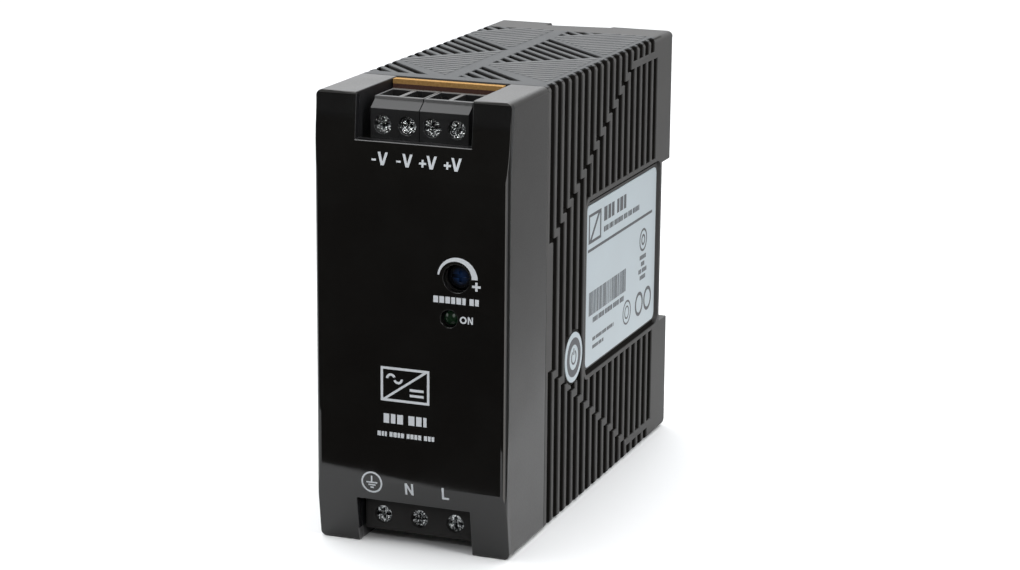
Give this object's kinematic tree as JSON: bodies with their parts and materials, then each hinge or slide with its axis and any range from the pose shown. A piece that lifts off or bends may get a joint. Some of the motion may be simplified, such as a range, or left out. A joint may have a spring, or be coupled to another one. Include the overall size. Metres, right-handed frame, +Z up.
{
  "type": "din rail power supply",
  "caption": "Slim rail-mounted power supply: glossy front with screw terminals top and bottom, ribbed vented case, trimmer, lamp and sprung rail latch.",
  "frame": {"origin": "centre of the bounding box's bottom face", "axes": "+Z up, -Y towards the front face with the terminals, +Y towards the rail, +X to the right seen from the front"},
  "size_m": [0.04, 0.1, 0.09],
  "materials": {
    "cover_black": "polished face, matte sides",
    "case_grey": "fine matte",
    "board_tan": "bare laminate",
    "terminal_grey": "satin",
    "screw_steel": "plated",
    "clamp_steel": "plated",
    "contact_brass": "tinned",
    "trimmer_blue": "gloss",
    "lamp_green": "clear lens",
    "label_silver": "satin foil",
    "latch_black": "satin",
    "spring_steel": "drawn wire",
    "ferrite": "ground",
    "black_plastic": "moulded",
    "winding_copper": "enamelled wire",
    "capacitor_can": "sleeved",
    "fuse_glass": "clear",
    "heat_sink_aluminium": "extruded",
    "film_yellow": "moulded",
    "disc_blue": "dipped",
    "sheet_white": "smooth"
  },
  "bodies": {
    "case": {"front_cover": "cover_black", "housing": "case_grey", "front_board": "board_tan", "main_board": "board_tan", "output_terminal_left": "terminal_grey", "output_terminal_right": "terminal_grey", "input_terminal": "terminal_grey", "output_contacts": "contact_brass", "input_contacts": "contact_brass", "trimmer_body": "trimmer_blue", "led": "lamp_green", "rating_label": "label_silver", "round_sticker": "label_silver", "latch_spring": "spring_steel", "transformer_core": "ferrite", "transformer_bobbin": "black_plastic", "transformer_winding": "winding_copper", "input_capacitor": "capacitor_can", "output_capacitors": "capacitor_can", "line_choke_core": "ferrite", "line_choke_windings": "winding_copper", "line_fuse": "fuse_glass", "bridge_rectifier": "black_plastic", "primary_heat_sink": "heat_sink_aluminium", "switching_transistor": "black_plastic", "output_heat_sink": "heat_sink_aluminium", "output_rectifier": "black_plastic", "heat_sink_screws": "screw_steel", "output_inductor": "black_plastic", "film_capacitor": "film_yellow", "safety_capacitors": "disc_blue", "inrush_thermistor": "disc_blue", "optocoupler": "sheet_white", "board_link_pins": "screw_steel", "insulation_sheet": "sheet_white"},
    "output_screw_1": {"output_screw_1": "screw_steel"},
    "output_clamp_1": {"output_clamp_1": "clamp_steel"},
    "output_screw_2": {"output_screw_2": "screw_steel"},
    "output_clamp_2": {"output_clamp_2": "clamp_steel"},
    "output_screw_3": {"output_screw_3": "screw_steel"},
    "output_clamp_3": {"output_clamp_3": "clamp_steel"},
    "output_screw_4": {"output_screw_4": "screw_steel"},
    "output_clamp_4": {"output_clamp_4": "clamp_steel"},
    "input_screw_1": {"input_screw_1": "screw_steel"},
    "input_clamp_1": {"input_clamp_1": "clamp_steel"},
    "input_screw_2": {"input_screw_2": "screw_steel"},
    "input_clamp_2": {"input_clamp_2": "clamp_steel"},
    "input_screw_3": {"input_screw_3": "screw_steel"},
    "input_clamp_3": {"input_clamp_3": "clamp_steel"},
    "trimmer_rotor": {"trimmer_rotor": "trimmer_blue"},
    "rail_latch": {"rail_latch": "latch_black"}
  },
  "joints": [
    {"name": "output_screw_1_turn", "type": "hinge", "parent": "case", "child": "output_screw_1", "pos_m": [-0.00717, -0.045, 0.0837], "axis": [0, 1, 0], "range_deg": [0, 1440]},
    {"name": "output_clamp_1_rise", "type": "slide", "parent": "case", "child": "output_clamp_1", "axis": [0, -1, 0], "range_m": [0, 0.0018]},
    {"name": "output_screw_2_turn", "type": "hinge", "parent": "case", "child": "output_screw_2", "pos_m": [-0.00209, -0.045, 0.0837], "axis": [0, 1, 0], "range_deg": [0, 1440]},
    {"name": "output_clamp_2_rise", "type": "slide", "parent": "case", "child": "output_clamp_2", "axis": [0, -1, 0], "range_m": [0, 0.0018]},
    {"name": "output_screw_3_turn", "type": "hinge", "parent": "case", "child": "output_screw_3", "pos_m": [0.00299, -0.045, 0.0837], "axis": [0, 1, 0], "range_deg": [0, 1440]},
    {"name": "output_clamp_3_rise", "type": "slide", "parent": "case", "child": "output_clamp_3", "axis": [0, -1, 0], "range_m": [0, 0.0018]},
    {"name": "output_screw_4_turn", "type": "hinge", "parent": "case", "child": "output_screw_4", "pos_m": [0.00807, -0.045, 0.0837], "axis": [0, 1, 0], "range_deg": [0, 1440]},
    {"name": "output_clamp_4_rise", "type": "slide", "parent": "case", "child": "output_clamp_4", "axis": [0, -1, 0], "range_m": [0, 0.0018]},
    {"name": "input_screw_1_turn", "type": "hinge", "parent": "case", "child": "input_screw_1", "pos_m": [-0.00717, -0.045, 0.0055], "axis": [0, 1, 0], "range_deg": [0, 1440]},
    {"name": "input_clamp_1_rise", "type": "slide", "parent": "case", "child": "input_clamp_1", "axis": [0, -1, 0], "range_m": [0, 0.0018]},
    {"name": "input_screw_2_turn", "type": "hinge", "parent": "case", "child": "input_screw_2", "pos_m": [0.00045, -0.045, 0.0055], "axis": [0, 1, 0], "range_deg": [0, 1440]},
    {"name": "input_clamp_2_rise", "type": "slide", "parent": "case", "child": "input_clamp_2", "axis": [0, -1, 0], "range_m": [0, 0.0018]},
    {"name": "input_screw_3_turn", "type": "hinge", "parent": "case", "child": "input_screw_3", "pos_m": [0.00807, -0.045, 0.0055], "axis": [0, 1, 0], "range_deg": [0, 1440]},
    {"name": "input_clamp_3_rise", "type": "slide", "parent": "case", "child": "input_clamp_3", "axis": [0, -1, 0], "range_m": [0, 0.0018]},
    {"name": "trimmer_turn", "type": "hinge", "parent": "case", "child": "trimmer_rotor", "pos_m": [0.0096, -0.047, 0.0558], "axis": [0, 1, 0], "range_deg": [-130, 130]},
    {"name": "latch_pull", "type": "slide", "parent": "case", "child": "rail_latch", "axis": [0, 0, -1], "range_m": [0, 0.003], "stiffness_N_per_m": 600, "springref_m": -0.004, "deforming": ["latch_spring"]}
  ],
  "couplings": [
    {"joint": "output_screw_1_turn", "follows": "output_clamp_1_rise", "rad_per_m": 13963},
    {"joint": "output_screw_2_turn", "follows": "output_clamp_2_rise", "rad_per_m": 13963},
    {"joint": "output_screw_3_turn", "follows": "output_clamp_3_rise", "rad_per_m": 13963},
    {"joint": "output_screw_4_turn", "follows": "output_clamp_4_rise", "rad_per_m": 13963},
    {"joint": "input_screw_1_turn", "follows": "input_clamp_1_rise", "rad_per_m": 13963},
    {"joint": "input_screw_2_turn", "follows": "input_clamp_2_rise", "rad_per_m": 13963},
    {"joint": "input_screw_3_turn", "follows": "input_clamp_3_rise", "rad_per_m": 13963}
  ]
}
